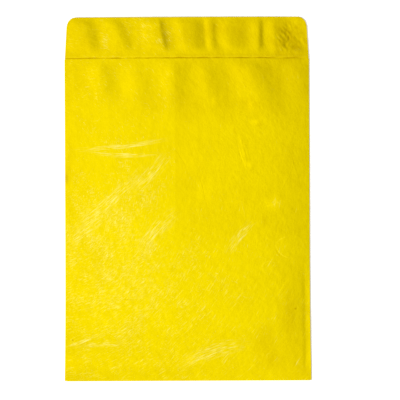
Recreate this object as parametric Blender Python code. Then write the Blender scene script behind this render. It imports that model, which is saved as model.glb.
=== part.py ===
"""An open-end envelope of spun-bonded fibre sheet, lying on its back with its flap opened out.

It is modelled as it is made. A flat blank is laid out as a grid of stations across and along, and each
station is put where folding carries it: round the two side folds, up the front, round the bottom fold and
out along the closing flap. The sheet then gets its thickness, and two glue lines join its layers.

X runs across the envelope, Y from its bottom towards its flap, Z up from the table.
"""

import math

import bmesh
import bpy

# The sheet and how it is folded and glued, in metres
SHEET = 0.0002  # thickness of the fibre sheet
GLUE_LINE = 0.00004  # thickness of glue between two layers
GLUE_BITE = 0.00003  # how far a glue line soaks into each layer
FOLD_ROOM = 0.00017  # air between the front panel and the thickest lap, at the folds

# The envelope laid flat
BODY_WIDTH = 0.254
BODY_LENGTH = 0.3325  # bottom fold to flap score
FLAP_LENGTH = 0.0420  # flap score to free edge
FLAP_TAPER = 0.0024  # how far each side of the flap comes in over its length
FLAP_CORNER = 0.009  # corner radius of the flap
SEAM_LAP = 0.032  # width over which the side panels overlap at the centre seam
SEAM_DRAPE = 0.003  # distance over which the inner side panel comes down beside the lap
SEAM_GLUE = 0.022  # width of the seam's glue line
BOTTOM_FLAP = 0.036  # bottom fold to the bottom flap's free edge
BOTTOM_FLAP_NOTCH = 0.0012  # the bottom flap starts this far inside each side fold
BOTTOM_FLAP_TAPER = 0.0085  # how far each of its sides comes in over its length
BOTTOM_FLAP_CORNER = 0.007
BOTTOM_GLUE_MARGIN = 0.006  # edge of the bottom flap that has no glue
THROAT_RELIEF = 0.0015  # the side panels start this far below the score, at the side folds
THROAT_DROP = 0.0065  # and end this far below it across the middle
THROAT_SHOULDER = 0.012  # distance over which the throat falls from one to the other

# How the front stands up from the back
CROWN = 0.0075  # height of the front panel's bulge
CROWN_RISE = 0.112  # distance from the bottom fold over which the bulge grows
SIDE_PULL = 0.0011  # how far the bulge draws each side in
FLAP_ARCH = 0.40  # share of the bulge that is left at the flap's free edge
FLAP_DROOP = 0.00022  # how far the flap's sides sink towards its free edge
SCORE_DEPTH = 0.00045  # the pressed score line between body and flap
SCORE_WIDTH = 0.0011  # half its width

# Ripples of the front panel under the score: place across, height, spread, sideways drift and reach down
RIPPLES = (
    (-0.0913, 0.00165, 0.0110, 0.16, 0.060),
    (-0.0542, 0.00215, 0.0132, 0.08, 0.067),
    (-0.0475, -0.00190, 0.0186, -0.59, 0.052),
    (-0.0141, 0.00200, 0.0111, -0.02, 0.080),
    (0.0167, 0.00120, 0.0091, 0.17, 0.075),
    (0.0412, -0.00075, 0.0085, 0.13, 0.071),
    (0.0619, 0.00240, 0.0159, 0.36, 0.085),
    (0.1152, 0.00120, 0.0117, 0.09, 0.053),
)
RIPPLE_START = 0.015  # distance from the score over which they come up
RIPPLE_ZONE = 0.048  # stations lie closer than this below the score

# Folds across the flap, held by its adhesive strip: the line's places at the low, middle and high guide, the
# height, the widths of the left and right flank, and how sharp each flank is, from 0, round, to 1
FLAP_FOLDS = (
    ((-0.1014, -0.1032, -0.1075), 0.00200, 0.040, 0.0144, 0.0, 0.0),
    ((-0.0658, -0.0685, -0.0748), 0.00145, 0.020, 0.0115, 0.0, 0.0),
    ((-0.0221, -0.0253, -0.0277), 0.00200, 0.031, 0.0073, 0.0, 1.0),
    ((0.0020, -0.0011, -0.0034), 0.00195, 0.014, 0.0340, 0.0, 0.0),
    ((0.0209, 0.0192, 0.0181), -0.00140, 0.013, 0.0061, 0.1, 0.7),
    ((0.0281, 0.0261, 0.0261), 0.00070, 0.015, 0.0051, 0.5, 0.1),
    ((0.0473, 0.0424, 0.0428), 0.00150, 0.012, 0.0260, 0.0, 0.0),
    ((0.0737, 0.0742, 0.0738), 0.00160, 0.015, 0.0052, 0.0, 0.2),
    ((0.0916, 0.0905, 0.0903), 0.00140, 0.011, 0.0170, 0.2, 0.3),
    ((0.1220, 0.1140, 0.1060), -0.00120, 0.022, 0.0300, 0.0, 0.0),
)
LOW_GUIDE = 0.008  # the guides' distances from the score
HIGH_GUIDE = 0.036
FOLD_START = 0.003  # distance from the score at which the folds begin
FOLD_GROWTH = 0.010  # distance over which they grow to full height
FOLD_END = 0.008  # distance over which they sink again at the free edge
FOLD_LEFT = 0.20  # share of their height that is left there

# The dent that runs beside the right side fold, above its lower end
EDGE_DENT_INSET = 0.0050
EDGE_DENT_DEPTH = 0.0005
EDGE_DENT_WIDTH = 0.0034
EDGE_DENT_START = 0.018  # from the bottom fold
EDGE_DENT_END = 0.122

# The paper strip that covers the flap's adhesive
STRIP_WIDTH = 0.028
STRIP_SETBACK = 0.0035  # from the flap's free edge
STRIP_INSET = 0.0045  # from the flap's sides
STRIP_SHEET = 0.0001
STRIP_CLEARANCE = 0.0003

# Stations of the blank
COLUMN_PITCH = 0.0040
BODY_PITCH = 0.036
RIPPLE_PITCH = 0.0070
FLAP_PITCH = 0.0050
FOLD_STEPS = 4
CORNER_STEPS = 4
SAME_PLACE = 0.00001

# Heights of the middle of each layer above the table
LAYER = SHEET + GLUE_LINE
BOTTOM_FLAP_LEVEL = SHEET / 2
PANEL_LEVEL = BOTTOM_FLAP_LEVEL + LAYER
LAP_LEVEL = PANEL_LEVEL + LAYER
FRONT_LEVEL = LAP_LEVEL + SHEET + FOLD_ROOM
SIDE_FOLD = (FRONT_LEVEL - PANEL_LEVEL) / 2  # radius of the side folds
BOTTOM_FOLD = (FRONT_LEVEL - BOTTOM_FLAP_LEVEL) / 2

# Places across and along
HALF_PANEL = BODY_WIDTH / 2 - SIDE_FOLD - SHEET / 2  # middle to the start of a side fold
BOTTOM = -(BODY_LENGTH + FLAP_LENGTH) / 2
PANEL_START = BOTTOM + BOTTOM_FOLD + SHEET / 2
SCORE = BOTTOM + BODY_LENGTH
FREE_EDGE = SCORE + FLAP_LENGTH
MOUTH = SCORE - THROAT_RELIEF
STRIP_END = FREE_EDGE - STRIP_SETBACK
STRIP_START = STRIP_END - STRIP_WIDTH
LAP_EDGE = SEAM_LAP / 2


def smooth(share):
    """0 to 1 with a level start and end."""
    share = min(max(share, 0.0), 1.0)
    return share * share * (3 - 2 * share)


def spaced(fixed, pitch):
    """The fixed stations, with even ones between them at most a pitch apart."""
    stations = [fixed[0]]
    for start, end in zip(fixed, fixed[1:]):
        parts = max(1, math.ceil((end - start) / pitch - 1e-6))
        stations += [start + (end - start) * (part + 1) / parts for part in range(parts)]
    return stations


def crown_growth(along):
    """How much of the bulge there is at a distance up the body."""
    share = (along - PANEL_START) / CROWN_RISE
    return math.sin(math.pi / 2 * min(max(share, 0.0), 1.0))


def half_width(along):
    """Middle to side fold, narrower where the bulge draws the sides in."""
    return HALF_PANEL - SIDE_PULL * crown_growth(along)


def ripples(across, along):
    """The ripples that the scored and glued flap leaves in the panel below it."""
    below = SCORE - along
    height = 0.0
    for place, rise, spread, drift, length in RIPPLES:
        fading = smooth((below - RIPPLE_START) / (length - RIPPLE_START))
        offset = across - place - drift * below
        height += rise * (1 - fading) * math.exp(-((offset / spread) ** 2))
    return height * smooth(below / RIPPLE_START)


def fold_line(guides, above):
    """Where a fold's line runs across, at a distance above the score: a smooth bow through its guides."""
    low, middle, high = guides
    share = (above - LOW_GUIDE) / (HIGH_GUIDE - LOW_GUIDE)
    return low + share * (4 * middle - 3 * low - high) + 2 * share * share * (low + high - 2 * middle)


def flank_height(share, sharp):
    """1 at the line of a fold and 0 at the end of its flank."""
    share = min(share, 1.0)
    return (1 - sharp) * (1 - smooth(share)) + sharp * (1 - share) ** 1.8


def flap_folds(across, along):
    """The folds and creases across the flap."""
    above = along - SCORE
    height = 0.0
    for guides, rise, left, right, left_sharp, right_sharp in FLAP_FOLDS:
        offset = across - fold_line(guides, above)
        if offset < 0:
            height += rise * flank_height(-offset / left, left_sharp)
        else:
            height += rise * flank_height(offset / right, right_sharp)
    ends = FOLD_LEFT + (1 - FOLD_LEFT) * smooth((FLAP_LENGTH - above) / FOLD_END)
    return height * ends * smooth((above - FOLD_START) / FOLD_GROWTH)


def edge_dent(across, along):
    """The shallow valley beside the right side fold."""
    offset = (across - (half_width(along) - EDGE_DENT_INSET)) / EDGE_DENT_WIDTH
    middle = (EDGE_DENT_START + EDGE_DENT_END) / 2
    reach = (EDGE_DENT_END - EDGE_DENT_START) / 2
    ends = 1 - smooth((abs(along - BOTTOM - middle) - reach * 0.6) / (reach * 0.4))
    return -EDGE_DENT_DEPTH * ends * math.exp(-(offset**2))


def front_height(across, along):
    """Height of the middle of the sheet, on the front panel and the closing flap."""
    share = across / half_width(along)
    arch = CROWN * (1 - share * share)
    score = SCORE_DEPTH * max(0.0, 1 - abs(along - SCORE) / SCORE_WIDTH)
    if along <= SCORE:
        inside = 1 - abs(share) ** 12
        forms = ripples(across, along) + edge_dent(across, along) - score
        return FRONT_LEVEL + arch * crown_growth(along) + forms * inside
    out = (along - SCORE) / FLAP_LENGTH
    arch *= 1 - (1 - FLAP_ARCH) * smooth(out)
    inside = 1 - abs(share) ** 20
    return FRONT_LEVEL + arch - FLAP_DROOP * out * out + (flap_folds(across, along) - score) * inside


def rounded_reach(inset, radius):
    """How far a rounded corner holds back an outline, at a distance in from its side."""
    if inset >= radius:
        return 0.0
    return radius - math.sqrt(max(0.0, radius**2 - (radius - inset) ** 2))


def front_columns():
    """Stations across the front, at the flap's corners and sharp folds and evenly between them."""
    turns = [math.pi / 2 * step / CORNER_STEPS for step in range(CORNER_STEPS + 1)]
    ends = [HALF_PANEL - FLAP_CORNER * (1 - math.cos(turn)) for turn in turns]
    ends += [HALF_PANEL - BOTTOM_FLAP_NOTCH, HALF_PANEL - STRIP_INSET]
    fixed = [-place for place in ends] + ends
    for guides, _, _, right, left_sharp, right_sharp in FLAP_FOLDS:
        if max(left_sharp, right_sharp) > 0.5:
            fixed += [guides[1], guides[1] + right / 2]
    return spaced(sorted(fixed), COLUMN_PITCH)


def body_rows():
    """Stations along the body, from the bottom fold to the flap score."""
    rise = [0.0, 0.004, 0.012, 0.026]
    fixed = [PANEL_START + CROWN_RISE * share / rise[-1] * 0.45 for share in rise]
    fixed += [PANEL_START + CROWN_RISE, SCORE - RIPPLE_ZONE]
    rows = spaced(fixed, BODY_PITCH)
    rows += spaced([SCORE - RIPPLE_ZONE, SCORE - RIPPLE_START, MOUTH], RIPPLE_PITCH)[1:]
    return rows + [SCORE - SCORE_WIDTH, SCORE]


def flap_rows():
    """Stations along the closing flap, after its score."""
    fixed = [SCORE + SCORE_WIDTH, STRIP_START, STRIP_END, FREE_EDGE - FLAP_CORNER, FREE_EDGE]
    return spaced(sorted(fixed), FLAP_PITCH)


def on_front(column, row):
    """A station of the front panel."""
    across = column * half_width(row) / HALF_PANEL
    return across, row, front_height(across, row)


def on_flap(column, row):
    """A station of the closing flap, which tapers and has rounded corners."""
    half = half_width(SCORE) - FLAP_TAPER * (row - SCORE) / FLAP_LENGTH
    across = column * half / HALF_PANEL
    past = max(0.0, row - (FREE_EDGE - FLAP_CORNER))
    along = row - past * rounded_reach(half - abs(across), FLAP_CORNER) / FLAP_CORNER
    return across, along, front_height(across, along)


def on_side_fold(side, turn, row):
    """A station of a side fold: turn goes from 0 at the front panel to 1 at the side panel."""
    edge, _, front = on_front(side * HALF_PANEL, row)
    radius = (front - PANEL_LEVEL) / 2
    angle = math.pi * turn
    return edge + side * radius * math.sin(angle), row, PANEL_LEVEL + radius * (1 + math.cos(angle))


def on_side_panel(side, column, row):
    """A station of a side panel. The left one laps over the right one, inside the envelope."""
    across = column * half_width(row) / HALF_PANEL
    inset = half_width(row) - side * across
    drop = (THROAT_DROP - THROAT_RELIEF) * smooth(inset / THROAT_SHOULDER)
    start = SCORE - RIPPLE_ZONE
    along = row - drop * max(0.0, (row - start) / (MOUTH - start))
    level = PANEL_LEVEL
    if side < 0:
        level += LAYER * smooth((across + LAP_EDGE + SEAM_DRAPE) / (SEAM_DRAPE - SHEET))
    return across, along, level


def on_bottom_fold(column, turn):
    """A station of the bottom fold: turn goes from 0 at the front panel to 1 at the bottom flap."""
    angle = math.pi * turn
    along = PANEL_START - BOTTOM_FOLD * math.sin(angle)
    return column, along, BOTTOM_FLAP_LEVEL + BOTTOM_FOLD * (1 + math.cos(angle))


def on_bottom_flap(column, share):
    """A station of the bottom flap, from its fold at 0 to its free edge at 1."""
    widest = HALF_PANEL - BOTTOM_FLAP_NOTCH
    reach = BOTTOM + BOTTOM_FLAP - PANEL_START
    across = column * (widest - BOTTOM_FLAP_TAPER * share) / widest
    inset = widest - BOTTOM_FLAP_TAPER * share - abs(across)
    along = PANEL_START + share * (reach - rounded_reach(inset, BOTTOM_FLAP_CORNER))
    return across, along, BOTTOM_FLAP_LEVEL


def side_columns(side):
    """Stations across a side panel, from its fold to its edge at the centre seam."""
    shoulder = HALF_PANEL - THROAT_SHOULDER
    fixed = [HALF_PANEL - THROAT_SHOULDER / 2, shoulder]
    if side < 0:
        fixed += [LAP_EDGE + SEAM_DRAPE, LAP_EDGE + SEAM_DRAPE / 2, LAP_EDGE + SHEET]
    return [side * place for place in fixed] + [-side * LAP_EDGE]


def add_grid(bm, lines):
    """Joins neighbouring lines of vertices with faces. A gap in a line is None."""
    for line, after in zip(lines, lines[1:]):
        for corners in zip(line, line[1:], after[1:], after):
            if None not in corners:
                bm.faces.new(corners)


def closed_up(bm):
    """Joins the stations that meet at a rounded corner's end, and turns all faces the same way."""
    bmesh.ops.remove_doubles(bm, verts=bm.verts, dist=SAME_PLACE)
    bmesh.ops.recalc_face_normals(bm, faces=bm.faces)
    return bm


def folded_blank():
    """The middle surface of the whole sheet, cut, folded and closed."""
    bm = bmesh.new()
    columns, rows = front_columns(), body_rows()
    panel_rows = [row for row in rows if row <= MOUTH]

    def line(places):
        return [bm.verts.new(place) for place in places]

    front = [line(on_front(column, row) for column in columns) for row in rows]
    flap = [line(on_flap(column, row) for column in columns) for row in flap_rows()]
    add_grid(bm, front + flap)

    for side in (-1, 1):
        end = 0 if side < 0 else -1
        lines = []
        for row, across in zip(panel_rows, front):
            turns = [step / FOLD_STEPS for step in range(1, FOLD_STEPS + 1)]
            fold = line(on_side_fold(side, turn, row) for turn in turns)
            panel = line(on_side_panel(side, column, row) for column in side_columns(side))
            lines.append([across[end]] + fold + panel)
        add_grid(bm, lines)

    widest = HALF_PANEL - BOTTOM_FLAP_NOTCH
    inner = [abs(column) < widest + 1e-6 for column in columns]
    lines = [[vert if keep else None for vert, keep in zip(front[0], inner)]]
    for step in range(1, FOLD_STEPS + 1):
        places = [on_bottom_fold(column, step / FOLD_STEPS) for column in columns]
        lines.append([bm.verts.new(place) if keep else None for place, keep in zip(places, inner)])
    corner_share = 1 - BOTTOM_FLAP_CORNER / BOTTOM_FLAP
    for share in (corner_share, 1.0):
        places = [on_bottom_flap(column, share) for column in columns]
        lines.append([bm.verts.new(place) if keep else None for place, keep in zip(places, inner)])
    add_grid(bm, lines)
    return closed_up(bm)


def adhesive_strip():
    """The middle surface of the cover strip, which follows the underside of the flap."""
    bm = bmesh.new()
    below = SHEET / 2 + STRIP_CLEARANCE + STRIP_SHEET / 2
    columns = [column for column in front_columns() if abs(column) < HALF_PANEL - STRIP_INSET + 1e-6]
    lines = []
    for row in flap_rows():
        if STRIP_START - 1e-6 < row < STRIP_END + 1e-6:
            places = [on_flap(column, row) for column in columns]
            lines.append([bm.verts.new((x, y, z - below)) for x, y, z in places])
    add_grid(bm, lines)
    return closed_up(bm)


def glue_block(name, width, start, end, level):
    """A thin block of glue between two layers. It is a guide for the union, and isn't shown."""
    bm = bmesh.new()
    bmesh.ops.create_cube(bm, size=1.0)
    height = GLUE_LINE + 2 * GLUE_BITE
    bmesh.ops.scale(bm, vec=(width, end - start, height), verts=bm.verts)
    bmesh.ops.translate(bm, vec=(0, (start + end) / 2, level), verts=bm.verts)
    block = to_object(name, bm)
    block.hide_render = True
    block.display_type = "WIRE"
    return block


def to_object(name, bm):
    mesh = bpy.data.meshes.new(name)
    bm.to_mesh(mesh)
    bm.free()
    made = bpy.data.objects.new(name, mesh)
    bpy.context.collection.objects.link(made)
    return made


def thicken(sheet, thickness):
    """Gives a middle surface its thickness, half to each side."""
    solid = sheet.modifiers.new("thickness", "SOLIDIFY")
    solid.thickness = thickness
    solid.offset = 0
    solid.use_even_offset = True
    return sheet


def glue(sheet, block):
    union = sheet.modifiers.new(block.name, "BOOLEAN")
    union.operation = "UNION"
    union.solver = "EXACT"
    union.object = block


def finish(made, name, colour, roughness):
    """A plain material, and smooth shading that leaves the folds and cut edges sharp."""
    material = bpy.data.materials.new(name)
    material.use_nodes = True
    shader = material.node_tree.nodes["Principled BSDF"]
    shader.inputs["Base Color"].default_value = (*colour, 1)
    shader.inputs["Roughness"].default_value = roughness
    shader.inputs["Metallic"].default_value = 0
    made.data.materials.append(material)
    made.data.shade_smooth()
    made.data.set_sharp_from_angle(angle=math.radians(30))


def build():
    for old in list(bpy.data.objects):
        bpy.data.objects.remove(old, do_unlink=True)

    envelope = thicken(to_object("envelope", folded_blank()), SHEET)
    seam_start = PANEL_START + BOTTOM_GLUE_MARGIN
    seam_end = SCORE - THROAT_DROP - BOTTOM_GLUE_MARGIN
    seam_level = (PANEL_LEVEL + LAP_LEVEL) / 2
    glue(envelope, glue_block("seam_glue", SEAM_GLUE, seam_start, seam_end, seam_level))
    narrow = HALF_PANEL - BOTTOM_FLAP_NOTCH - BOTTOM_FLAP_TAPER - BOTTOM_GLUE_MARGIN
    flap_end = BOTTOM + BOTTOM_FLAP - BOTTOM_GLUE_MARGIN
    flap_level = (BOTTOM_FLAP_LEVEL + PANEL_LEVEL) / 2
    glue(envelope, glue_block("bottom_glue", 2 * narrow, seam_start, flap_end, flap_level))
    finish(envelope, "yellow_fibre_sheet", (0.885, 0.672, 0.0), 0.6)

    strip = thicken(to_object("release_strip", adhesive_strip()), STRIP_SHEET)
    finish(strip, "white_release_paper", (0.86, 0.86, 0.84), 0.5)


build()
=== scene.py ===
"""The looks of an open-end envelope: its folded fibre sheet in full detail, its release strip and a stage.

Everything is in metres, in the frame of the solid model: X across the envelope, Y from its bottom towards its
flap, Z up from the table that it lies on.
"""

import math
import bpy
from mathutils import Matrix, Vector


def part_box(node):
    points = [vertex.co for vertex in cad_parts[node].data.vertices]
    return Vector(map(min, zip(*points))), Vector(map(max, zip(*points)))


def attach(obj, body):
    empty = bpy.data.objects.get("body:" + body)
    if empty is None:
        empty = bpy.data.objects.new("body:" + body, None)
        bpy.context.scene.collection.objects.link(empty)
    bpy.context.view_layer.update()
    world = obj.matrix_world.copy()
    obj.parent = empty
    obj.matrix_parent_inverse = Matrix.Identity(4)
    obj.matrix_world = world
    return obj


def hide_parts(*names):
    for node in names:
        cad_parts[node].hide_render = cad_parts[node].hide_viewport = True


bl_info = {
    "name": "Open-end envelope",
    "version": (1, 0),
    "blender": (4, 5, 0),
    "location": "View3D > Sidebar > Envelope",
    "description": "Folds a spun-bonded envelope out of one sheet and sets it on a pale stage",
    "category": "Object",
}

import bmesh
import bpy
from bpy.props import FloatProperty, FloatVectorProperty, PointerProperty
from mathutils import Vector, noise

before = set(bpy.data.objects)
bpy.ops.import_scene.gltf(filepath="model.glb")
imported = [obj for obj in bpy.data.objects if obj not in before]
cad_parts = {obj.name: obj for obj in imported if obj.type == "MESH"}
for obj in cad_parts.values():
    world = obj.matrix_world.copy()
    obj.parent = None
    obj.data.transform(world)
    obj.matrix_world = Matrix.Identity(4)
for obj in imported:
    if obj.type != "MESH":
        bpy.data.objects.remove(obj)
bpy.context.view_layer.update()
MM = 0.001
# Less than any distance that matters, for comparing places
SLACK = 1e-6

SHEET_LOW, SHEET_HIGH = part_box("envelope")
STRIP_LOW, STRIP_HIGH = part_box("release_strip")

# Forms of the sheet, in millimetres: across from the middle, along from the flap score

# Ripples under the score: place across, height, spread, drift on the way down, length
RIPPLES = (
    (-91.3, 1.65, 11.0, 0.16, 60),
    (-54.2, 2.15, 13.2, 0.08, 67),
    (-47.5, -1.90, 18.6, -0.59, 52),
    (-14.1, 2.00, 11.1, -0.02, 80),
    (16.7, 1.20, 9.1, 0.17, 75),
    (41.2, -0.75, 8.5, 0.13, 71),
    (61.9, 2.40, 15.9, 0.36, 85),
    (115.2, 1.20, 11.7, 0.09, 53),
)
# They are full at the first of these distances below the score, and fade from the second one on
RIPPLES_FULL, RIPPLES_FADE = 15, 16
# Folds across the flap. Each has its ridge or valley placed across at 8, 22 and 36 mm above the score, then
# its height, the reach of its left and right flank, and how sharp each flank is at the line: 0 is round, 1 is
# a crease
FLAP_FOLDS = (
    ((-101.4, -103.2, -107.5), 2.00, 40, 14.4, 0.0, 0.0),
    ((-65.8, -68.5, -74.8), 1.45, 20, 11.5, 0.0, 0.0),
    ((-22.1, -25.3, -27.7), 2.00, 31, 7.3, 0.0, 1.0),
    ((2.0, -1.1, -3.4), 1.95, 14, 34, 0.0, 0.0),
    ((20.9, 19.2, 18.1), -1.40, 13, 6.1, 0.1, 0.7),
    ((28.1, 26.1, 26.1), 0.70, 15, 5.1, 0.5, 0.1),
    ((47.3, 42.4, 42.8), 1.50, 11.6, 26, 0.0, 0.0),
    ((73.7, 74.2, 73.8), 1.60, 14.6, 5.2, 0.0, 0.2),
    ((91.6, 90.5, 90.3), 1.40, 10.6, 17, 0.2, 0.3),
    ((122.0, 114.0, 106.0), -1.20, 22, 30, 0.0, 0.0),
)
FOLDS_LOWEST, FOLDS_HIGHEST = 8, 36
# They start this far above the score, and come down again over this stretch at the free edge
FOLDS_START, FOLDS_END = 3.0, 8.0
# Small creases pressed into the front: points across and up from the middle, height, left flank, right flank
PRESSED = (
    (((-118, 51), (-94, 51), (-70, 53), (-56, 56), (-41, 59), (-24, 60)), 0.16, 1.6, 2.4),
    (((-97, 44), (-74, 44), (-58, 47), (-38, 47), (-30, 44)), 0.12, 1.6, 2.2),
    (((-24, 60), (-18, 54), (-10, 46)), -0.14, 1.8, 1.8),
    (((52, 74), (56, 62), (59, 50), (60, 38), (61, 30)), 0.18, 7.0, 3.0),
)
# The crumpled end of the flap: middle across, middle above the score, reach across, reach along
CRUMPLE = (107.0, 19.0, 18.0, 21.0)
# The round mark pressed into it: middle across, middle above the score, radius, half width, depth
RING = (97.5, 20.5, 8.0, 1.5, 0.45)
RING_START, RING_END = -1.4, 0.5
# The pressed score: half width, depth, how far it wanders, the place and size of its step, and the place,
# reach and depth of a deeper stretch
SCORE_HALF_WIDTH, SCORE_DEPTH = 1.1, 0.55
SCORE_WANDER = 0.22
SCORE_STEP = (83.5, 0.5)
SCORE_DEEPER = (-91, 8, 0.25)
# The dent beside the right side fold: distance from the fold, middle above the bottom, half length, run-out
DENT = (5.0, 63, 45, 13)

# Cuts and steps of the back, in millimetres

# The throat: how far below the score it starts, how much lower it is away from the sides, and the width and
# the length over which it goes down to that
THROAT_CUT, THROAT_DROP, THROAT_WIDTH, THROAT_LENGTH = 1.5, 5, 12, 48
# How far the inner side panel takes to step down beside the lap
DRAPE = 3
# The bottom flap: notch at each end of its fold, taper of each side, corner radius
NOTCH, BOTTOM_TAPER, BOTTOM_CORNER = 1.2, 8.5, 7
# The release strip: thickness, and how far its middle lies under the middle of the flap
STRIP_THICKNESS, STRIP_DROP = 0.1, 0.45

# Spacing of the grid that the sheet is made of, in millimetres, and its steps round a fold and round a corner
COLUMN_PITCH, CRUMPLED_PITCH = 1.55, 0.9
ROW_PITCH, FLAP_ROW_PITCH = 2.15, 1.1
ROWS_BELOW_SCORE = (3, 2.2, 1.5, 1.1, 0.8, 0.5, 0.25, 0)
ROWS_ABOVE_SCORE = (0.25, 0.5, 0.8, 1.1, 1.5)
FIRST_ROW = 4
# Stations of a side panel in from its fold, those beside the lap, and shares of the bottom flap's length
COLUMNS_BY_FOLD = (3, 6, 9, 12)
COLUMNS_BY_LAP = (3, 2, 1, 0.2)
BOTTOM_FLAP_SHARES = (0.3, 0.6, 0.81, 0.9, 1)
FOLD_STEPS, CORNER_STEPS = 6, 8


class EnvelopeSizes(bpy.types.PropertyGroup):
    """Sizes of the folded sheet and its strip."""

    sheet: FloatProperty(
        name="Sheet", description="Thickness of the fibre sheet", default=0.2 * MM, unit="LENGTH"
    )
    glue_line: FloatProperty(
        name="Glue line", description="Room between two glued layers", default=0.04 * MM, unit="LENGTH"
    )
    fold_room: FloatProperty(
        name="Fold room", description="Air under the front at its folds", default=0.17 * MM, unit="LENGTH"
    )
    width: FloatProperty(
        name="Width", description="Across the side folds", default=SHEET_HIGH[0] - SHEET_LOW[0], unit="LENGTH"
    )
    length: FloatProperty(
        name="Length", description="Bottom to free edge", default=SHEET_HIGH[1] - SHEET_LOW[1], unit="LENGTH"
    )
    flap: FloatProperty(
        name="Flap", description="Score to free edge of the closing flap", default=42 * MM, unit="LENGTH"
    )
    flap_taper: FloatProperty(
        name="Flap taper", description="How far the flap's sides come in", default=2.4 * MM, unit="LENGTH"
    )
    flap_corner: FloatProperty(
        name="Flap corner", description="Corner radius of the closing flap", default=9 * MM, unit="LENGTH"
    )
    bulge: FloatProperty(
        name="Bulge", description="Height by which the front stands up", default=7.5 * MM, unit="LENGTH"
    )
    bulge_rise: FloatProperty(
        name="Bulge rise", description="From the bottom fold to full bulge", default=112 * MM, unit="LENGTH"
    )
    side_pull: FloatProperty(
        name="Side pull", description="How far the bulge draws each side in", default=1.1 * MM, unit="LENGTH"
    )
    lap: FloatProperty(
        name="Seam lap", description="Overlap of the side panels", default=32 * MM, unit="LENGTH"
    )
    bottom_flap: FloatProperty(
        name="Bottom flap", description="Length of the glued bottom flap", default=36 * MM, unit="LENGTH"
    )
    strip_inset: FloatProperty(
        name="Strip inset", description="Strip's end to the flap's side", default=4.5 * MM, unit="LENGTH"
    )


class EnvelopeLook(bpy.types.PropertyGroup):
    """Colours of the envelope and strength of its light."""

    sheet_colour: FloatVectorProperty(
        name="Sheet", description="Yellow of the fibre sheet", default=(0.860, 0.695, 0.0), subtype="COLOR"
    )
    fibre_colour: FloatVectorProperty(
        name="Fibres", description="Lighter yellow of the fibres", default=(0.97, 0.90, 0.26), subtype="COLOR"
    )
    # The deeper yellow of the sheet's mottle, grain and specks, and of the painted shade in its creases, at
    # its score and towards its ends and sides
    shade_colour: FloatVectorProperty(
        name="Shade", description="Deeper yellow of creases", default=(0.56, 0.38, 0.0), subtype="COLOR"
    )
    strip_colour: FloatVectorProperty(
        name="Strip", description="White of the release paper", default=(0.84, 0.84, 0.82), subtype="COLOR"
    )
    key: FloatProperty(
        name="Key lamp", description="Power of the lamp at the left", default=4330, unit="POWER"
    )
    fill: FloatProperty(name="Fill", description="Strength of the light from all round", default=0.40)


def smooth(share):
    """0 to 1 with a level start and end."""
    share = min(max(share, 0.0), 1.0)
    return share * share * (3 - 2 * share)


def spaced(fixed, pitch):
    """The fixed stations, with even ones between them at most a pitch apart."""
    stations = [fixed[0]]
    for start, end in zip(fixed, fixed[1:]):
        parts = max(1, math.ceil((end - start) / pitch - SLACK))
        stations += [start + (end - start) * (part + 1) / parts for part in range(parts)]
    return stations


def hump(offset, spread):
    """1 in the middle, and nearly 0 at twice the spread."""
    return math.exp(-((offset / spread) ** 2))


def flank(share, sharp):
    """1 at a fold's line and 0 at the end of its flank, round or creased at the line."""
    share = min(share, 1.0)
    return (1 - sharp) * (1 - smooth(share)) + sharp * (1 - share) ** 1.8


def held_back(inset, corner):
    """How far a rounded corner stays behind its straight end, at a distance from the side."""
    return corner - math.sqrt(max(0.0, corner**2 - (corner - min(inset, corner)) ** 2))


def wave(across, along, length, seed):
    """Smooth random height from about -1 to 1."""
    return noise.noise(Vector((across / length, along / length, seed)))


def through(three, share):
    """The curve through three places at 0, a half and 1."""
    first, middle, last = three
    slope = 4 * middle - 3 * first - last
    bend = 2 * first + 2 * last - 4 * middle
    return first + share * slope + share * share * bend


def pressed_in(across, along):
    """Height of the small creases, each along its own line of points."""
    height = 0.0
    for points, rise, left, right in PRESSED:
        reach = max(left, right)
        wide, high = zip(*points)
        within = min(wide) - reach < across < max(wide) + reach
        if not within or not min(high) - reach < along < max(high) + reach:
            continue
        nearest, best = None, reach
        for step, (start, end) in enumerate(zip(points, points[1:])):
            run, climb = end[0] - start[0], end[1] - start[1]
            share = ((across - start[0]) * run + (along - start[1]) * climb) / (run * run + climb * climb)
            share = min(max(share, 0.0), 1.0)
            aside, up = across - start[0] - share * run, along - start[1] - share * climb
            off = math.hypot(aside, up)
            if off < best:
                on_right = aside * climb - up * run > 0
                best, nearest = off, ((step + share) / (len(points) - 1), right if on_right else left)
        if nearest:
            share, reach = nearest
            height += rise * flank(best / reach, 1) * smooth(4 * share) * smooth(4 * (1 - share))
    return height


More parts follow.
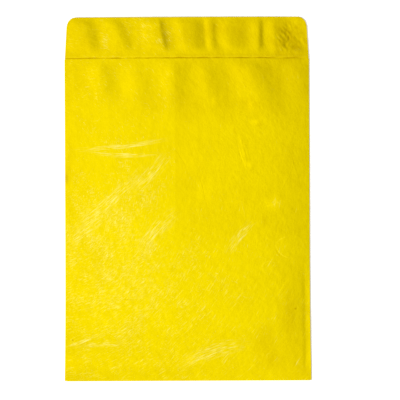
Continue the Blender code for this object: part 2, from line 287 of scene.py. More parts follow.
class Form:
    """Where each point of the flat sheet goes when it is folded."""

    def __init__(self, sizes):
        self.sizes = sizes
        layer = sizes.sheet + sizes.glue_line
        self.bottom_flap_level = sizes.sheet / 2
        self.panel_level = self.bottom_flap_level + layer
        self.lap_level = self.panel_level + layer
        self.front_level = self.lap_level + sizes.sheet + sizes.fold_room
        self.side_fold = (self.front_level - self.panel_level) / 2
        self.bottom_fold = (self.front_level - self.bottom_flap_level) / 2
        self.half_panel = sizes.width / 2 - self.side_fold - sizes.sheet / 2
        self.bottom = -sizes.length / 2
        self.panel_start = self.bottom + self.bottom_fold + sizes.sheet / 2
        self.free_edge = sizes.length / 2
        self.score = self.free_edge - sizes.flap
        self.mouth = self.score - THROAT_CUT * MM

    def growth(self, along):
        """How much of its bulge the front has at a place along it."""
        share = (along - self.panel_start) / self.sizes.bulge_rise
        return math.sin(math.pi / 2 * min(max(share, 0.0), 1.0))

    def half_width(self, along):
        """From the middle to a side fold, which the bulge draws in."""
        return self.half_panel - self.sizes.side_pull * self.growth(along)

    def ripples(self, across, below):
        """Height of the ripples at a distance below the score."""
        height = 0.0
        for place, rise, spread, drift, length in RIPPLES:
            strength = smooth(below / RIPPLES_FULL)
            strength *= 1 - smooth((below - RIPPLES_FADE) / (length - RIPPLES_FADE))
            offset = across - place - drift * below
            height += rise * strength * hump(offset, spread * (1 + 0.1 * wave(across, below, 25, 1)))
        return height

    def flap_folds(self, across, above):
        """Height of the folds of the flap at a distance above the score."""
        share = (above - FOLDS_LOWEST) / (FOLDS_HIGHEST - FOLDS_LOWEST)
        height = 0.0
        for places, rise, left, right, left_sharp, right_sharp in FLAP_FOLDS:
            offset = across - through(places, share)
            if offset < 0:
                height += rise * flank(-offset / left, left_sharp)
            else:
                height += rise * flank(offset / right, right_sharp)
        length = self.sizes.flap / MM
        strength = smooth((above - FOLDS_START) / 10) * (0.2 + 0.8 * smooth((length - above) / FOLDS_END))
        return height * strength * (1 + 0.1 * wave(across, above, 13, 13))

    def crumple(self, across, above):
        """The crumpled end of the flap, with the round mark pressed into it."""
        middle, high, wide, long = CRUMPLE
        inside = 1 - smooth(math.hypot((across - middle) / wide, (above - high) / long) * 2 - 1)
        if inside <= 0:
            return 0.0
        folds = abs(wave(2 * (across + above), across - above, 13, 3)) + 0.3 * abs(wave(across, above, 5, 5))
        middle, high, radius, half, depth = RING
        aside, up = across - middle, above - high
        ring = max(0.0, 1 - abs(math.hypot(aside, up) - radius) / half)
        turn = math.atan2(up, aside)
        ring *= smooth((turn - RING_START) * 2) * smooth((RING_END - turn) * 2)
        return inside * (0.4 - 0.9 * folds) - depth * ring

    def score_line(self, across, past):
        """Depth of the pressed score, which isn't quite straight or even."""
        step_place, step = SCORE_STEP
        place = SCORE_WANDER * wave(across, 0, 17, 7) - step * smooth((across - step_place) / 3)
        deeper_place, reach, deeper = SCORE_DEEPER
        depth = SCORE_DEPTH + 0.35 * wave(across, 0, 11, 9) + deeper * hump(across - deeper_place, reach)
        return depth * max(0.0, 1 - abs(past - place) / SCORE_HALF_WIDTH)

    def edge_dent(self, across, along):
        """The narrow valley beside the right side fold above its lower end, and the slope down to it."""
        from_fold, middle, half, run_out = DENT
        offset = (across - self.half_width(along)) / MM + from_fold
        up = (along - self.bottom) / MM
        ends = MM * (1 - smooth((abs(up - middle) - half) / run_out)) * (0.52 + 0.2 * wave(up, 0, 17, 15))
        offset += 0.5 * wave(up, 0, 23, 17)
        if offset < 0:
            return -ends * (0.6 * flank(-offset / 4, 0.4) + 0.4 * flank(-offset / 20, 0))
        return ends * (1.25 * smooth(offset / 10 + 0.02) * 2 - 1)

    def front_height(self, across, along):
        """Height of the middle of the sheet, on the front panel and the closing flap."""
        share = across / self.half_width(along)
        wide, past = across / MM, (along - self.score) / MM
        arch = 1 - share**2
        if share > 0:
            arch += (share**2 - share**3.4) * smooth(-past / 70)
        arch *= self.sizes.bulge
        inside = MM * (1 - abs(share) ** 16)
        forms = -self.score_line(wide, past)
        if past <= 0:
            near_folds = smooth((along - self.panel_start) / (25 * MM))
            forms += self.ripples(wide, -past) + pressed_in(wide, along / MM)
            forms += near_folds * smooth(-past / 12) * 0.55 * wave(wide, past, 62, 11)
            arch = arch * self.growth(along) + self.edge_dent(across, along)
            return self.front_level + arch + forms * inside
        out = (along - self.score) / self.sizes.flap
        arch *= 1 - 0.6 * smooth(out)
        forms += self.flap_folds(wide, past) + self.crumple(wide, past)
        return self.front_level + arch - 0.22 * MM * out * out + forms * inside

    def on_front(self, column, row):
        across = column * self.half_width(row) / self.half_panel
        return across, row, self.front_height(across, row)

    def on_flap(self, column, row):
        half = self.half_width(self.score) - self.sizes.flap_taper * (row - self.score) / self.sizes.flap
        across = column * half / self.half_panel
        corner = self.sizes.flap_corner
        past = max(0.0, row - (self.free_edge - corner))
        along = row - past * held_back(half - abs(across), corner) / corner
        return across, along, self.front_height(across, along)

    def on_side_fold(self, side, turn, row):
        edge, _, front = self.on_front(side * self.half_panel, row)
        radius = (front - self.panel_level) / 2
        angle = math.pi * turn
        height = self.panel_level + radius * (1 + math.cos(angle))
        return edge + side * radius * math.sin(angle), row, height

    def on_side_panel(self, side, column, row):
        across = column * self.half_width(row) / self.half_panel
        inset = self.half_width(row) - side * across
        start = self.score - THROAT_LENGTH * MM
        rise = max(0.0, (row - start) / (self.mouth - start))
        drop = THROAT_DROP * MM * smooth(inset / (THROAT_WIDTH * MM)) * rise
        level = self.panel_level
        if side < 0:
            drape = DRAPE * MM
            share = (across + self.sizes.lap / 2 + drape) / (drape - self.sizes.sheet)
            level += (self.lap_level - self.panel_level) * smooth(share)
        return across, row - drop, level

    def on_bottom_fold(self, column, turn):
        angle = math.pi * turn
        along = self.panel_start - self.bottom_fold * math.sin(angle)
        return column, along, self.bottom_flap_level + self.bottom_fold * (1 + math.cos(angle))

    def on_bottom_flap(self, column, share):
        widest = self.half_panel - NOTCH * MM
        half = widest - BOTTOM_TAPER * MM * share
        reach = self.bottom + self.sizes.bottom_flap - self.panel_start
        across = column * half / widest
        held = held_back(half - abs(across), BOTTOM_CORNER * MM)
        return across, self.panel_start + share * (reach - held), self.bottom_flap_level


def front_columns(form):
    """Stations across the front, closer at its sides and in the crumpled part."""
    turns = [math.pi / 2 * step / CORNER_STEPS for step in range(CORNER_STEPS + 1)]
    ends = [form.half_panel - form.sizes.flap_corner * (1 - math.cos(turn)) for turn in turns]
    ends += [form.half_panel - NOTCH * MM, form.half_panel - form.sizes.strip_inset]
    stations = spaced(sorted([-place for place in ends] + ends), COLUMN_PITCH * MM)
    crumpled = (CRUMPLE[0] - CRUMPLE[2]) * MM
    closer = spaced([place for place in stations if place >= crumpled], CRUMPLED_PITCH * MM)
    return [place for place in stations if place < crumpled] + closer


def body_rows(form):
    """Stations from the bottom fold to the score."""
    fixed = [form.panel_start, form.panel_start + FIRST_ROW * MM, form.score - ROWS_BELOW_SCORE[0] * MM]
    return spaced(fixed, ROW_PITCH * MM)[:-1] + [form.score - step * MM for step in ROWS_BELOW_SCORE]


def flap_rows(form):
    """Stations from the score to the free edge."""
    fixed = [form.score + step * MM for step in ROWS_ABOVE_SCORE]
    fixed += [STRIP_LOW[1], form.free_edge - form.sizes.flap_corner, STRIP_HIGH[1], form.free_edge]
    return spaced(sorted(fixed), FLAP_ROW_PITCH * MM)


def add_grid(bm, lines):
    """Joins neighbouring lines of vertices with faces. A gap in a line is None."""
    for line, after in zip(lines, lines[1:]):
        for corners in zip(line, line[1:], after[1:], after):
            if None not in corners:
                bm.faces.new(corners)


def closed_up(bm):
    """Joins the stations that meet at a rounded corner's end, and turns all faces the same way."""
    bmesh.ops.remove_doubles(bm, verts=bm.verts, dist=0.01 * MM)
    bmesh.ops.recalc_face_normals(bm, faces=bm.faces)
    return bm


def folded_sheet(form):
    """The middle surface of the sheet, cut, folded and closed."""
    bm = bmesh.new()
    columns, rows = front_columns(form), body_rows(form)
    turns = [step / FOLD_STEPS for step in range(1, FOLD_STEPS + 1)]

    def line(places):
        return [bm.verts.new(place) for place in places]

    front = [line(form.on_front(column, row) for column in columns) for row in rows]
    flap = [line(form.on_flap(column, row) for column in columns) for row in flap_rows(form)]
    add_grid(bm, front + flap)

    for side in (-1, 1):
        end = 0 if side < 0 else -1
        stations = [form.half_panel - step * MM for step in COLUMNS_BY_FOLD]
        if side < 0:
            stations += [form.sizes.lap / 2 + step * MM for step in COLUMNS_BY_LAP]
        stations = [side * place for place in stations] + [-side * form.sizes.lap / 2]
        lines = []
        for row, across in zip(rows, front):
            if row > form.mouth + SLACK:
                break
            fold = line(form.on_side_fold(side, turn, row) for turn in turns)
            panel = line(form.on_side_panel(side, column, row) for column in stations)
            lines.append([across[end]] + fold + panel)
        add_grid(bm, lines)

    inner = [abs(column) < form.half_panel - NOTCH * MM + SLACK for column in columns]
    lines = [[vert if keep else None for vert, keep in zip(front[0], inner)]]
    places = [[form.on_bottom_fold(column, turn) for column in columns] for turn in turns]
    places += [[form.on_bottom_flap(column, share) for column in columns] for share in BOTTOM_FLAP_SHARES]
    for row in places:
        lines.append([bm.verts.new(place) if keep else None for place, keep in zip(row, inner)])
    add_grid(bm, lines)
    return closed_up(bm)


def cover_strip(form):
    """The middle surface of the strip, under the flap."""
    bm = bmesh.new()
    reach = form.half_panel - form.sizes.strip_inset
    columns = [column for column in front_columns(form) if abs(column) < reach + SLACK]
    lines = []
    for row in flap_rows(form):
        if STRIP_LOW[1] - SLACK < row < STRIP_HIGH[1] + SLACK:
            places = [form.on_flap(column, row) for column in columns]
            lines.append([bm.verts.new((x, y, z - STRIP_DROP * MM)) for x, y, z in places])
    add_grid(bm, lines)
    return closed_up(bm)


def as_piece(name, bm, thickness, material):
    """A smooth-shaded object of a middle surface that is given its thickness."""
    mesh = bpy.data.meshes.new(name)
    bm.to_mesh(mesh)
    bm.free()
    mesh.materials.append(material)
    mesh.shade_smooth()
    piece = bpy.data.objects.new(name, mesh)
    bpy.context.collection.objects.link(piece)
    solid = piece.modifiers.new("thickness", "SOLIDIFY")
    solid.thickness = thickness
    solid.offset = 0
    return piece


def node(tree, kind, *values, **settings):
    """Adds a node. Each value is a number, a vector or colour, an output to link, or None to leave it."""
    made = tree.nodes.new("ShaderNode" + kind)
    for name, value in settings.items():
        setattr(made, name, value)
    for socket, value in zip(made.inputs, values):
        if isinstance(value, bpy.types.NodeSocket):
            tree.links.new(value, socket)
        elif value is not None:
            socket.default_value = value
    return made.outputs[0]


def maths(tree, operation, first, *others):
    """Works through the values from the left, two at a time."""
    for value in others:
        first = node(tree, "Math", first, value, operation=operation)
    return first


def sum_of(tree, *values):
    return maths(tree, "ADD", *values)


def times(tree, *values):
    return maths(tree, "MULTIPLY", *values)


def highest(tree, *values):
    return maths(tree, "MAXIMUM", *values)


def off_line(tree, value, line):
    """How far a value is from a line, on either side of it."""
    return node(tree, "Math", maths(tree, "SUBTRACT", value, line), operation="ABSOLUTE")


def parts_of(tree, place):
    """Its distances across and along."""
    return node(tree, "SeparateXYZ", place).node.outputs[:2]


def ramp(tree, value, start, end, low=0.0, high=1.0):
    """Goes smoothly from low to high while the value goes from start to end."""
    return node(tree, "MapRange", value, start, end, low, high, interpolation_type="SMOOTHSTEP")


def clouds(tree, place, size, detail=2.0):
    """Soft random patches of a size in metres."""
    return node(tree, "TexNoise", place, None, 1 / size, detail)


def distance(tree, place, spot, reach=(1 / MM, 1 / MM)):
    """How far a place is from a spot in mm, seen from above, in shares of a reach in mm across and along.

    Without a reach it is in metres.
    """
    scale = [1 / (wide * MM) for wide in reach] + [0]
    shift = [-part / wide for part, wide in zip(spot, reach)] + [0]
    moved = node(tree, "VectorMath", place, scale, shift, operation="MULTIPLY_ADD")
    return node(tree, "VectorMath", moved, operation="LENGTH").node.outputs["Value"]


def blot(tree, place, middle, reach):
    """1 in the middle of a round place, and 0 at its reach."""
    return ramp(tree, distance(tree, place, middle, reach), 1, 0)


def mixed(tree, share, first, second):
    """A colour between two."""
    unused = [None] * 5
    return node(tree, "Mix", share, *unused, first, second, data_type="RGBA").node.outputs[2]


# The fibres lie in arcs round these places, in millimetres, and have their length at this radius
SWIRL, SWIRL_RADIUS = (-165, 25), 190
CROSSING, CROSSING_RADIUS = (-60, -260), 260
# Faint wide wrinkles of the sheet lie in arcs round this one
SLANT, SLANT_RADIUS = (-186, -121), 300
FIBRE_WIDTH, FIBRE_LENGTH = 0.62 * MM, 7
WRINKLE_WIDTH, WRINKLE_LENGTH = 1.3 * MM, 7
# The density of fibres on top, and the places where more of them lie: middle, reach each way, how many more
LEAST_DENSITY = -0.13
DENSER = (
    ((-80, -25), (120, 120), 0.11),
    ((-45, 12), (45, 38), 0.03),
    ((-60, -120), (190, 150), 0.10),
    ((-80, 100), (110, 80), 0.02),
    ((89, -5), (15, 12), 0.22),
    ((-35, 170), (56, 26), 0.09),
    ((-83, 162), (9, 20), 0.12),
)
# Bundles of longer fibres: centre and radius of the arc, half the breadth of the bundle, the middle and the
# reach of the stretch of it that shows, the length of its fibres, how much of it shows
BUNDLES = (
    ((-539, 526), 700, 9, (-82, -4), 66, 12, 0.04),
    ((-539, 526), 708, 8, (-106, -32), 34, 12, 0.03),
    ((-252, 236), 300, 10, (-38, 26), 32, 11, 0.03),
    ((57, -112), 120, 11, (-34, -32), 36, 10, 0.02),
    ((171, -131), 150, 6, (53, -39), 27, 9, 0.03),
    ((66, -273), 124, 9, (26, -158), 46, 9, 0.03),
    ((-139, 716), 665.5, 3.4, (-66, 54), 58, 11, 0.09),
    ((-58, 367), 322, 3.0, (-66, 46), 46, 11, 0.09),
    ((-215, 150), 315, 2.4, (-106, -148), 28, 10, 0.06),
    ((-84, -330), 181, 3.4, (-90, -150), 34, 8, 0.04),
)
# Fine creases and small bundles, each an arc: centre and radius, half the width, the middle and the reach of
# the stretch of it that shows, height, how pale its fibre colour is, and its painted shade on a shaded flank
# or, below 0, painted light on a lit flank
CREASES = (
    ((-215, 150), 315, 1.0, (-106, -148), 28, 0.14, 0.14, -0.08),
    ((-215, 150), 317.5, 1.2, (-106, -150), 22, 0, 0, 0.14),
    ((-84, -330), 180, 0.9, (-92, -151), 28, 0, 0.05, 0),
    ((-139, 716), 665, 0.9, (-70, 54), 54, 0, 0.10, 0),
    ((-58, 367), 322, 0.9, (-68, 46), 42, 0, 0.08, 0),
    ((-48.5, 16), 50, 0.9, (-8, 43), 24, -0.07, 0, 0.18),
    ((-370, -94), 400, 1.0, (16, 9), 22, -0.07, 0, 0.14),
    ((158.5, 77.7), 109, 1.0, (54, 47), 21, -0.10, 0, 0.12),
    ((158.5, 77.7), 107.4, 1.0, (55, 43), 16, 0.10, 0, -0.12),
    ((-261.9, -32.1), 331.6, 1.0, (58.5, 54), 19, -0.08, 0, 0.18),
    ((-261.9, -32.1), 329.9, 1.0, (58, 54), 17, 0.08, 0, -0.14),
    ((-135.8, -62.8), 200, 0.8, (57.3, -10), 11, 0.07, 0.05, -0.14),
    ((171, -131), 152, 0.9, (52, -39), 23, 0, 0.08, -0.06),
    ((171, -131), 148, 0.9, (49, -42), 20, 0, 0.08, -0.06),
    ((106.2, -59), 20.3, 0.9, (95, -42), 11, 0, 0.03, -0.30),
    ((108.4, -42.4), 18.6, 0.9, (96, -56), 15, 0.08, 0.03, -0.40),
    ((108.4, -42.4), 20.8, 1.3, (93, -56), 11, 0, 0, 0.26),
    ((379.9, -298.3), 350.1, 1.4, (97, -91), 17, 0.08, 0, -0.25),
    ((379.9, -298.3), 347.5, 1.3, (100, -92), 13, 0, 0, 0.16),
    ((83.7, -71.2), 6.9, 0.9, (79, -67), 11, 0, 0.03, -0.22),
    ((75, 40), 48, 1.0, (88, -5), 12, 0.07, 0, -0.2),
    ((66, -273), 127, 1.0, (22, -155), 32, 0.07, 0.16, 0),
    ((66, -273), 121, 0.9, (10, -165), 26, 0, 0.14, 0),
    ((66, -273), 116, 0.8, (34, -160), 22, 0, 0.12, 0),
    ((-195, -66), 322, 1.2, (120, 45), 44, -0.07, 0, 0.10),
    ((20, 60), 92, 1.1, (102, 20), 26, 0.07, 0, 0.06),
    ((-60, -303.4), 200, 0.5, (-61, -103.4), 8.5, 0, 0, 0.55),
)
# How far a crease wanders off its arc
CREASE_WANDER = 2.4

# Patches of painted shade and, below 0, painted light where folds, bulge and dents of the sheet are lit
# unevenly, and partly its uneven tone: middle, reach each way, how much
SHADE_AND_LIGHT_PATCHES = (
    ((-122, 45), (10, 38), 0.12),
    ((33, 177), (16, 14), 0.18),
    ((63, 97.5), (16, 9), 0.14),
    ((5, 96), (120, 20), 0.09),
    ((79, -150), (18, 30), 0.20),
    ((88, -166), (14, 14), 0.20),
    ((103, -122), (14, 34), 0.20),
    ((-62, -168), (80, 14), -0.08),
    ((-120, -168), (22, 16), -0.18),
    ((1, -166), (9, 10), -0.16),
    ((-88, 166), (9, 18), -0.12),
    ((-42, 172), (14, 22), -0.18),
    ((97, 179), (8, 7), -0.20),
    ((88, -5), (15, 12), -0.24),
    ((79, -22), (4, 10), 0.20),
    ((97, -50), (8, 16), -0.10),
    ((56, 50), (5, 20), -0.08),
    ((-124, 22), (3, 10), 0.40),
    ((65, 96), (6, 11), -0.26),
    ((69, 79), (8, 5), -0.30),
    ((62, 35), (6, 6), -0.26),
    ((27, 100), (5, 9), -0.22),
    ((75, 76), (4, 7), 0.20),
    ((49, 70), (3, 6), 0.18),
    ((-6, 35), (30, 27), -0.10),
    ((18, 8), (20, 24), -0.10),
    ((50, -2), (8, 14), -0.10),
    ((-88, -65), (34, 55), 0.10),
    ((21, 172), (14, 22), 0.14),
    ((56, 172), (14, 22), 0.13),
)
# How much painted light a mark below 0 adds to the colour
PAINTED_LIGHT_STRENGTH = 0.45

# Small dark specks in the sheet, and their reach
SPECKS = ((110.6, -113.2), (-118.5, -144.8))
SPECK_REACH = (1.6, 1.6)


def arcs(tree, place, centre, radius, length, wander, seed, width=FIBRE_WIDTH):
    """Streaks along arcs round a centre, as a random height round a half."""
    aside, ahead = [-part * MM for part in centre]
    moved = node(tree, "VectorMath", place, (aside, ahead, 0), operation="ADD")
    x, y = parts_of(tree, moved)
    out = maths(tree, "DIVIDE", sum_of(tree, distance(tree, place, centre), wander), width)
    along = times(tree, maths(tree, "ARCTAN2", y, x), radius / length)
    return node(tree, "TexNoise", node(tree, "CombineXYZ", out, along, seed), None, 1.0, 1.0)


def fibre_density(tree, place, past_lap):
    """How many fibres lie on top. They are fewer over the lap of the seam."""
    density = LEAST_DENSITY
    for middle, reach, much in DENSER:
        density = sum_of(tree, times(tree, blot(tree, place, middle, reach), much), density)
    density = sum_of(tree, times(tree, past_lap, -0.05), density)
    return sum_of(tree, ramp(tree, clouds(tree, place, 16 * MM), 0.3, 0.7, -0.05, 0.05), density)


def fibres(tree, place, density):
    """How strongly the fibres show, where their density is enough for them to do so, and how they lie."""
    wander = times(tree, clouds(tree, place, 22 * MM, 1.0), 8 * MM)
    lie = arcs(tree, place, SWIRL, SWIRL_RADIUS, FIBRE_LENGTH, wander, 1.7)
    cross = arcs(tree, place, CROSSING, CROSSING_RADIUS, FIBRE_LENGTH, wander, 5.2)
    loose = clouds(tree, place, 0.9 * MM, 1.0)
    height = highest(tree, lie, sum_of(tree, cross, -0.03), sum_of(tree, loose, -0.03))
    total = ramp(tree, sum_of(tree, height, density), 0.555, 0.93, 0, 0.75)
    for seed, (centre, radius, breadth, middle, reach, length, much) in enumerate(BUNDLES):
        off = off_line(tree, distance(tree, place, centre), radius * MM)
        inside = ramp(tree, off, breadth * MM, 0.3 * breadth * MM)
        inside = times(tree, inside, blot(tree, place, middle, (reach, reach)))
        own_wander = times(tree, wander, 0.3)
        streaks = arcs(tree, place, centre, radius, length, own_wander, 11 + 3.1 * seed)
        shown = ramp(tree, sum_of(tree, streaks, times(tree, inside, much)), 0.50, 0.80)
        total = highest(tree, total, times(tree, shown, inside, 0.78))
    return total, lie


def tone_and_painted_shade(tree, place, score, lie, quiet, past_lap):
    """How deep the yellow is at each place: its mottle, grain and specks, darker past the lap, and painted
    shade along the score, over the crumpled end and towards the ends and sides; and the painted highlight on
    the lip beside the score.
    """
    x, y = parts_of(tree, place)
    mottle = ramp(tree, clouds(tree, place, 17 * MM, 4.0), 0.35, 0.7, -0.03, 0.05)
    grain = ramp(tree, highest(tree, lie, clouds(tree, place, 1.1 * MM)), 0.38, 0.72, 0.11, -0.11)
    grain = sum_of(tree, times(tree, grain, quiet), times(tree, quiet, -0.12), 0.22)
    lap = times(tree, past_lap, ramp(tree, y, 0.150, 0.148, 0, 0.08))
    # Painted shade over the crumpled end of the flap, in lumps like its small folds
    crumpled = blot(tree, place, (107, score / MM + 18), (34, 36))
    crumple_shade_lumps = ramp(tree, clouds(tree, place, 6 * MM, 3.0), 0.3, 0.7, 0.1, 0.45)
    total = sum_of(tree, mottle, grain, lap, times(tree, crumpled, crumple_shade_lumps))
    # Painted shade where the sheet turns from the lamp: below the score, on the flap, at the left side fold
    # and near the bottom fold
    shaded_bands = (
        (y, 0.065, score, 0.22),
        (y, score, 0.147, 0.09),
        (x, -0.080, -0.127, 0.12),
        (y, -0.100, -0.180, 0.10),
    )
    for way, start, end, much in shaded_bands:
        total = sum_of(tree, ramp(tree, way, start, end, 0, much), total)
    # Painted shade on the lower right, where the sheet slopes down to its side fold
    right = times(tree, ramp(tree, x, 0.085, 0.115, 0, 0.14), ramp(tree, y, -0.050, -0.090))
    total = sum_of(tree, right, total)
    # Painted shade: a dark line along the pressed score, where its groove lies in shade
    uneven = times(tree, clouds(tree, place, 9 * MM), 1.6 * MM)
    off = sum_of(tree, maths(tree, "SUBTRACT", y, score + 0.6 * MM), uneven)
    line = ramp(tree, off_line(tree, off, 0), 1.2 * MM, 0.3 * MM)
    line = times(tree, line, ramp(tree, clouds(tree, place, 14 * MM, 1.0), 0.35, 0.6, 0.55, 1.0))
    total = highest(tree, total, line)
    for spot in SPECKS:
        total = sum_of(tree, times(tree, blot(tree, place, spot, SPECK_REACH), 0.7), total)
    # The painted highlight along the lip just above the score
    return total, ramp(tree, off_line(tree, off, 1.5 * MM), 0.9 * MM, 0.2 * MM, 0, 0.01)


def small_marks(tree, place, wander):
    """How much painted shade, pale fibre colour and painted light the small marks put into the colour, and
    how high they stand.

    Each mark joins its sums as soon as it is made: with many of them waiting, Cycles draws the sheet black.
    """
    deeper, paler, painted_light_gain, relief = 0.0, 0.0, 1.0, 0.0
    for middle, reach, much in SHADE_AND_LIGHT_PATCHES:
        shown = blot(tree, place, middle, reach)
        if much > 0:
            deeper = sum_of(tree, times(tree, shown, much), deeper)
        else:
            painted_light_gain = sum_of(tree, times(tree, shown, -PAINTED_LIGHT_STRENGTH * much), painted_light_gain)
    broken = ramp(tree, clouds(tree, place, 3 * MM, 1.0), 0.35, 0.6, 0.5, 1)
    for centre, radius, width, middle, reach, height, pale, painted_shading in CREASES:
        out = sum_of(tree, distance(tree, place, centre), wander)
        off = off_line(tree, out, (radius + CREASE_WANDER / 2) * MM)
        near = blot(tree, place, middle, (reach, reach))
        shown = times(tree, ramp(tree, off, width * MM, 0), near, broken)
        if height:
            relief = sum_of(tree, times(tree, shown, height), relief)
        if pale:
            paler = sum_of(tree, times(tree, shown, pale), paler)
        if painted_shading > 0:
            deeper = sum_of(tree, times(tree, shown, painted_shading), deeper)
        if painted_shading < 0:
            painted_light_gain = sum_of(tree, times(tree, shown, -PAINTED_LIGHT_STRENGTH * painted_shading), painted_light_gain)
    return deeper, paler, painted_light_gain, relief


def fibre_sheet_material(look, score):
    """Yellow sheet of spun fibres, lighter where they bunch, with painted shade in its creases and at its
    score and folds, and painted light on the lit sides of some creases.
    """
    material, shader = new_material("yellow_fibre_sheet", look.sheet_colour, 0.6)
    shader.inputs["Specular IOR Level"].default_value = 0.004
    tree = material.node_tree
    place = tree.nodes.new("ShaderNodeTexCoord").outputs["Object"]
    x, y = parts_of(tree, place)
    past_lap = times(tree, ramp(tree, x, -0.0132, -0.0118), ramp(tree, y, -0.055, -0.030))
    light, lie = fibres(tree, place, fibre_density(tree, place, past_lap))
    quiet = ramp(tree, blot(tree, place, (-60, 50), (110, 110)), 0, 0.6, 1, 0.4)
    shade, score_lip_highlight = tone_and_painted_shade(tree, place, score, lie, quiet, past_lap)
    wander = times(tree, clouds(tree, place, 11 * MM), CREASE_WANDER * MM)
    deeper, paler, painted_light_gain, relief = small_marks(tree, place, wander)
    # The painted shade of the small marks joins the sheet's tone
    shade = sum_of(tree, shade, deeper)
    light = sum_of(tree, light, paler)

    # Deeper for the sheet's tone and painted shade, paler for its fibres and the painted lip highlight, then
    # brightened by painted light
    colour = mixed(tree, shade, (*look.sheet_colour, 1), (*look.shade_colour, 1))
    colour = mixed(tree, sum_of(tree, light, score_lip_highlight), colour, (*look.fibre_colour, 1))
    colour_with_painted_light = node(tree, "VectorMath", colour, None, None, painted_light_gain, operation="SCALE")
    tree.links.new(colour_with_painted_light, shader.inputs["Base Color"])
    tree.links.new(ramp(tree, light, 0, 1, 0.68, 0.5), shader.inputs["Roughness"])

    weave = sum_of(tree, times(tree, lie, 0.035), times(tree, clouds(tree, place, 1.2 * MM, 1.0), 0.06))
    relief = sum_of(tree, relief, times(tree, weave, quiet))
    relief = sum_of(tree, relief, times(tree, clouds(tree, place, 7 * MM, 4.0), 0.50))
    wrinkles = arcs(tree, place, SLANT, SLANT_RADIUS, WRINKLE_LENGTH, wander, 3.3, WRINKLE_WIDTH)
    wrinkled = blot(tree, place, (65, 75), (120, 170))
    relief = sum_of(tree, relief, times(tree, wrinkles, wrinkled, 0.13))
    tree.links.new(node(tree, "Bump", 1.0, MM, None, relief), shader.inputs["Normal"])
    return material


def paper_material(look):
    """Smooth white paper with a faint grain of fibres."""
    material, shader = new_material("white_release_paper", look.strip_colour, 0.4)
    tree = material.node_tree
    place = tree.nodes.new("ShaderNodeTexCoord").outputs["Object"]
    grain = clouds(tree, place, 0.8 * MM, 3.0)
    cloudy = clouds(tree, place, 6 * MM)
    shade = sum_of(tree, ramp(tree, grain, 0.35, 0.7, 0, 0.5), ramp(tree, cloudy, 0.35, 0.65, 0, 0.5))
    deeper = [0.93 * part for part in look.strip_colour] + [1]
    tree.links.new(mixed(tree, shade, (*look.strip_colour, 1), deeper), shader.inputs["Base Color"])
    tree.links.new(ramp(tree, cloudy, 0.3, 0.7, 0.34, 0.48), shader.inputs["Roughness"])
    bump = node(tree, "Bump", 1.0, MM, None, times(tree, grain, 0.03))
    tree.links.new(bump, shader.inputs["Normal"])
    return material


def new_material(name, colour, roughness):
    """A material with its shader set to one colour and roughness."""
    material = bpy.data.materials.new(name)
    material.use_nodes = True
    shader = material.node_tree.nodes["Principled BSDF"]
    shader.inputs["Base Color"].default_value = (*colour, 1)
    shader.inputs["Roughness"].default_value = roughness
    return material, shader


# The photograph's frame: its width at a level above the table, its pixels, and where in it the middle of the
# object is. The camera stands above that level
FRAME_WIDTH, FRAME_LEVEL = 0.4110, 5 * MM
FRAME_PIXELS = 400
MIDDLE_IN_PHOTO = (187.35, 198.95)
ROLL = math.radians(-0.24)
CAMERA_HEIGHT = 2.4
SENSOR_WIDTH = 36
FARTHEST = 20

# The floor and the light
FLOOR_REACH, FLOOR_LEVEL = 4, -0.1 * MM
FLOOR_COLOUR, FLOOR_GLOW = (0.9, 0.9, 0.9), 0.42
ROOM_COLOUR = (1, 0.95, 0.88, 1)
KEY_PLACE, KEY_SIZE = (-14.7, -3.45, 11.4), 7.8


class ENVELOPE_OT_sheet(bpy.types.Operator):
    """Folds the fibre sheet of the envelope"""

    bl_idname = "envelope.sheet"
    bl_label = "Fold the sheet"

    def execute(self, context):
        sizes, look = context.scene.envelope_sizes, context.scene.envelope_look
        form = Form(sizes)
        material = fibre_sheet_material(look, form.score)
        sheet = as_piece("folded_sheet", folded_sheet(form), sizes.sheet, material)
        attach(sheet, "root")
        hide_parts("envelope")
        return {"FINISHED"}


class ENVELOPE_OT_strip(bpy.types.Operator):
    """Covers the adhesive of the flap with its release strip"""

    bl_idname = "envelope.strip"
    bl_label = "Lay the release strip"

    def execute(self, context):
        sizes, look = context.scene.envelope_sizes, context.scene.envelope_look
        strip = as_piece("cover_strip", cover_strip(Form(sizes)), STRIP_THICKNESS * MM, paper_material(look))
        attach(strip, "root")
        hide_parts("release_strip")
        return {"FINISHED"}


class ENVELOPE_OT_stage(bpy.types.Operator):
    """Sets the floor, the light and the camera"""

    bl_idname = "envelope.stage"
    bl_label = "Set the stage"

    def execute(self, context):
        look = context.scene.envelope_look
        bm = bmesh.new()
        bmesh.ops.create_grid(bm, x_segments=1, y_segments=1, size=FLOOR_REACH)
        bmesh.ops.translate(bm, vec=(0, 0, FLOOR_LEVEL), verts=bm.verts)
        mesh = bpy.data.meshes.new("floor")
        bm.to_mesh(mesh)
        bm.free()
        floor = bpy.data.objects.new("floor", mesh)
        context.collection.objects.link(floor)
        material, shader = new_material("white_floor", FLOOR_COLOUR, 0.9)
        shader.inputs["Specular IOR Level"].default_value = 0
        add_camera_white(material, shader)
        mesh.materials.append(material)

        world = bpy.data.worlds.new("white_room")
        world.use_nodes = True
        context.scene.world = world
        light_the_room(world, look.fill)

        add_lamp(context, "key", look.key, KEY_SIZE, Vector(KEY_PLACE))
        place_camera(context)
        context.scene.view_settings.view_transform = "Standard"
        return {"FINISHED"}


def seen_directly(tree):
    """1 for camera rays and rays that a shiny or clear surface sends on, 0 for light on the object."""
    path = tree.nodes.new("ShaderNodeLightPath").outputs
    adding = {"operation": "ADD", "use_clamp": True}
    direct = node(tree, "Math", path["Is Camera Ray"], path["Is Glossy Ray"], **adding)
    return node(tree, "Math", direct, path["Is Transmission Ray"], **adding)


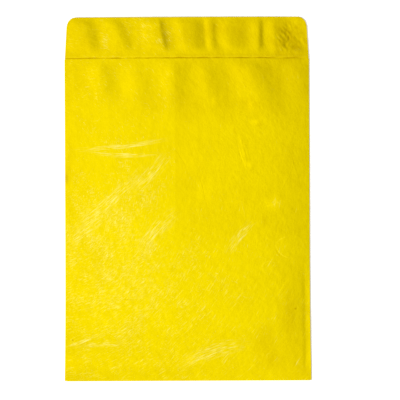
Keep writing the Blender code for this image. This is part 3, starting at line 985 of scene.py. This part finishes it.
def add_camera_white(material, shader):
    """The floor adds enough white for the camera to look plain white, apart from the object's shadow."""
    tree = material.node_tree
    glow = node(tree, "Emission", None, FLOOR_GLOW)
    nothing = node(tree, "Emission", None, 0)
    seen = node(tree, "MixShader", seen_directly(tree), nothing, glow)
    both = node(tree, "AddShader", shader.outputs[0], seen)
    tree.links.new(both, tree.nodes["Material Output"].inputs["Surface"])


def light_the_room(world, strength):
    """Even light from all round on the object, and plain white where the camera looks past the floor."""
    tree = world.node_tree
    background = tree.nodes["Background"]
    background.inputs["Color"].default_value = ROOM_COLOUR
    background.inputs["Strength"].default_value = strength
    white = node(tree, "Background", (1, 1, 1, 1))
    mix = node(tree, "MixShader", seen_directly(tree), background.outputs[0], white)
    tree.links.new(mix, tree.nodes["World Output"].inputs["Surface"])


def add_lamp(context, name, power, size, place):
    """A round lamp that looks at the middle of the frame."""
    light = bpy.data.lights.new(name, "AREA")
    light.energy = power
    light.shape = "DISK"
    light.size = size
    lamp = bpy.data.objects.new(name, light)
    lamp.location = place
    lamp.rotation_euler = (-place).to_track_quat("-Z", "Y").to_euler()
    context.collection.objects.link(lamp)


def place_camera(context):
    """Looks straight down, with the object where the photograph has it."""
    camera_data = bpy.data.cameras.new("camera")
    camera_data.sensor_width = SENSOR_WIDTH
    camera_data.lens = SENSOR_WIDTH * CAMERA_HEIGHT / FRAME_WIDTH
    camera_data.clip_end = FARTHEST
    camera = bpy.data.objects.new("camera", camera_data)
    context.collection.objects.link(camera)
    metres = FRAME_WIDTH / FRAME_PIXELS
    aside = (FRAME_PIXELS / 2 - MIDDLE_IN_PHOTO[0]) * metres
    down = (MIDDLE_IN_PHOTO[1] - FRAME_PIXELS / 2) * metres
    camera.location = (aside, down, FRAME_LEVEL + CAMERA_HEIGHT)
    camera.rotation_euler = (0, 0, ROLL)
    context.scene.camera = camera


class ENVELOPE_PT_panel(bpy.types.Panel):
    """Lists the pieces of the envelope"""

    bl_idname = "ENVELOPE_PT_panel"
    bl_label = "Open-end envelope"
    bl_space_type = "VIEW_3D"
    bl_region_type = "UI"
    bl_category = "Envelope"

    def draw(self, context):
        for operator in OPERATORS:
            self.layout.operator(operator.bl_idname)
        for group in (context.scene.envelope_sizes, context.scene.envelope_look):
            for name in group.__annotations__:
                self.layout.prop(group, name)


GROUPS = (EnvelopeSizes, EnvelopeLook)
OPERATORS = (ENVELOPE_OT_sheet, ENVELOPE_OT_strip, ENVELOPE_OT_stage)


def register():
    for each in (*GROUPS, *OPERATORS, ENVELOPE_PT_panel):
        bpy.utils.register_class(each)
    bpy.types.Scene.envelope_sizes = PointerProperty(type=EnvelopeSizes)
    bpy.types.Scene.envelope_look = PointerProperty(type=EnvelopeLook)


def unregister():
    del bpy.types.Scene.envelope_look
    del bpy.types.Scene.envelope_sizes
    for each in reversed((*GROUPS, *OPERATORS, ENVELOPE_PT_panel)):
        bpy.utils.unregister_class(each)


def main():
    register()
    bpy.ops.envelope.sheet()
    bpy.ops.envelope.strip()
    bpy.ops.envelope.stage()


if __name__ == "__main__":
    main()
